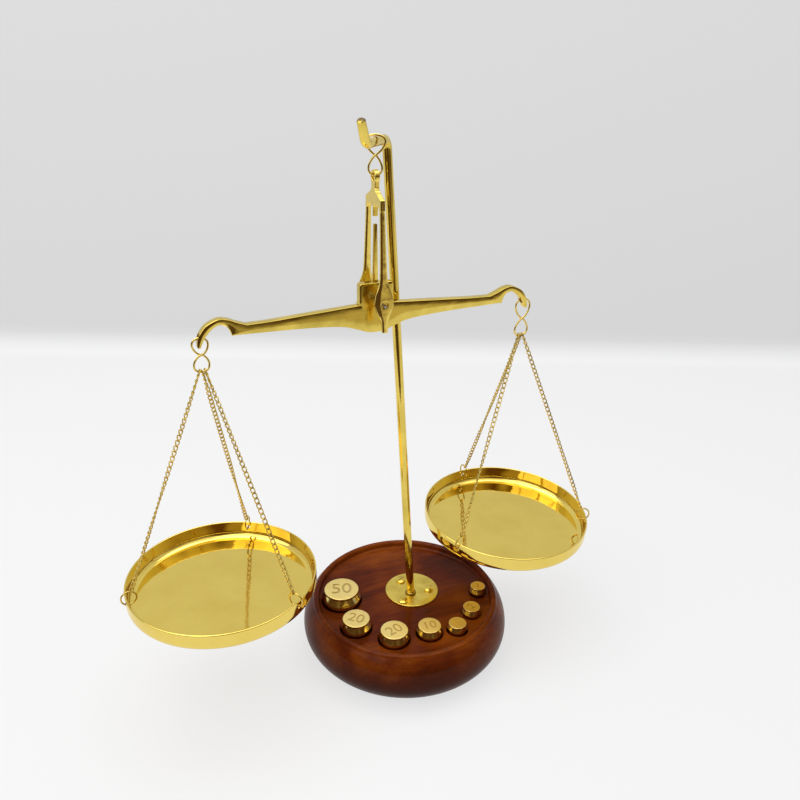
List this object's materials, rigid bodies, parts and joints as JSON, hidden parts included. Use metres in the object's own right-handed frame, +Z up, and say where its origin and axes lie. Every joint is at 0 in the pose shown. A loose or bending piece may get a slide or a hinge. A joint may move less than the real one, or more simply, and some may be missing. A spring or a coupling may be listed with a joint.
{
  "type": "balance scale",
  "caption": "Small brass balance: a swan-neck beam on a hanging fork carries chained pans beside a hooked rod on a round wooden base that holds its weights.",
  "frame": {"origin": "middle of the wooden base's underside, on the axis that the base was turned about", "axes": "+Z up; +X along the beam at rest, towards the pan over the base; -Y towards the front, the side the hook points to"},
  "size_m": [0.2251, 0.1012, 0.2526],
  "materials": {
    "varnished_wood": "glossy varnish over turned wood",
    "flange_brass": "satin, slightly tarnished",
    "screw_brass": "polished heads",
    "rod_brass": "polished",
    "cast_brass": "cast, polished on its faces and edges",
    "sheet_brass": "satin",
    "steel": "ground",
    "wire_brass": "drawn wire, bright",
    "chain_brass": "bright plated",
    "pan_brass": "polished, with fine scratches",
    "weight_brass": "turned, satin top and polished bevels"
  },
  "bodies": {
    "stand": {"wooden_base": "varnished_wood", "flange_plate": "flange_brass", "flange_screws": "screw_brass", "rod_collar": "rod_brass", "hooked_rod": "rod_brass"},
    "hook_link": {"hook_link": "wire_brass"},
    "fork": {"fork": "cast_brass"},
    "beam": {"beam": "cast_brass", "knife_edge": "steel", "pointer": "sheet_brass"},
    "left_hanger": {"left_hanger": "wire_brass"},
    "left_pan": {"left_pan": "pan_brass", "left_rim_ring_1": "chain_brass", "left_chain_1": "chain_brass", "left_rim_ring_2": "chain_brass", "left_chain_2": "chain_brass", "left_rim_ring_3": "chain_brass", "left_chain_3": "chain_brass"},
    "right_hanger": {"right_hanger": "wire_brass"},
    "right_pan": {"right_pan": "pan_brass", "right_rim_ring_1": "chain_brass", "right_chain_1": "chain_brass", "right_rim_ring_2": "chain_brass", "right_chain_2": "chain_brass", "right_rim_ring_3": "chain_brass", "right_chain_3": "chain_brass"},
    "weight_50g": {"weight_50g": "weight_brass"},
    "weight_20g_a": {"weight_20g_a": "weight_brass"},
    "weight_20g_b": {"weight_20g_b": "weight_brass"},
    "weight_10g": {"weight_10g": "weight_brass"},
    "weight_5g": {"weight_5g": "weight_brass"},
    "weight_2g": {"weight_2g": "weight_brass"},
    "weight_1g": {"weight_1g": "weight_brass"}
  },
  "joints": [
    {"name": "hook_link_swing", "type": "hinge", "parent": "stand", "child": "hook_link", "pos_m": [-0.0177, -0.003, 0.2433], "axis": [-0.6683, -0.7439, 0], "range_deg": [-2.5, 2.5]},
    {"name": "fork_swing", "type": "hinge", "parent": "hook_link", "child": "fork", "pos_m": [-0.0177, -0.003, 0.23115], "axis": [0.9135, -0.4067, 0], "range_deg": [-6, 1.5]},
    {"name": "beam_rock", "type": "hinge", "parent": "fork", "child": "beam", "pos_m": [-0.0177, -0.003, 0.1813], "axis": [0, 1, 0], "range_deg": [-8, 8]},
    {"name": "left_hanger_swing", "type": "hinge", "parent": "beam", "child": "left_hanger", "pos_m": [-0.08877, -0.003, 0.17495], "axis": [0, 1, 0], "range_deg": [-8, 8]},
    {"name": "left_pan_swing", "type": "hinge", "parent": "left_hanger", "child": "left_pan", "pos_m": [-0.08877, -0.003, 0.1613], "axis": [1, 0, 0], "range_deg": [-5, 5]},
    {"name": "right_hanger_swing", "type": "hinge", "parent": "beam", "child": "right_hanger", "pos_m": [0.05337, -0.003, 0.17495], "axis": [0, 1, 0], "range_deg": [-8, 8]},
    {"name": "right_pan_swing", "type": "hinge", "parent": "right_hanger", "child": "right_pan", "pos_m": [0.05337, -0.003, 0.1578], "axis": [1, 0, 0], "range_deg": [-5, 5]},
    {"name": "weight_50g_lift", "type": "slide", "parent": "stand", "child": "weight_50g", "axis": [0, 0, 1], "range_m": [0, 0.018]},
    {"name": "weight_20g_a_lift", "type": "slide", "parent": "stand", "child": "weight_20g_a", "axis": [0, 0, 1], "range_m": [0, 0.012]},
    {"name": "weight_20g_b_lift", "type": "slide", "parent": "stand", "child": "weight_20g_b", "axis": [0, 0, 1], "range_m": [0, 0.012]},
    {"name": "weight_10g_lift", "type": "slide", "parent": "stand", "child": "weight_10g", "axis": [0, 0, 1], "range_m": [0, 0.01]},
    {"name": "weight_5g_lift", "type": "slide", "parent": "stand", "child": "weight_5g", "axis": [0, 0, 1], "range_m": [0, 0.008]},
    {"name": "weight_2g_lift", "type": "slide", "parent": "stand", "child": "weight_2g", "axis": [0, 0, 1], "range_m": [0, 0.008]},
    {"name": "weight_1g_lift", "type": "slide", "parent": "stand", "child": "weight_1g", "axis": [0, 0, 1], "range_m": [0, 0.008]}
  ],
  "couplings": [
    {"joint": "left_hanger_swing", "follows": "beam_rock", "ratio": -1},
    {"joint": "right_hanger_swing", "follows": "beam_rock", "ratio": -1}
  ]
}
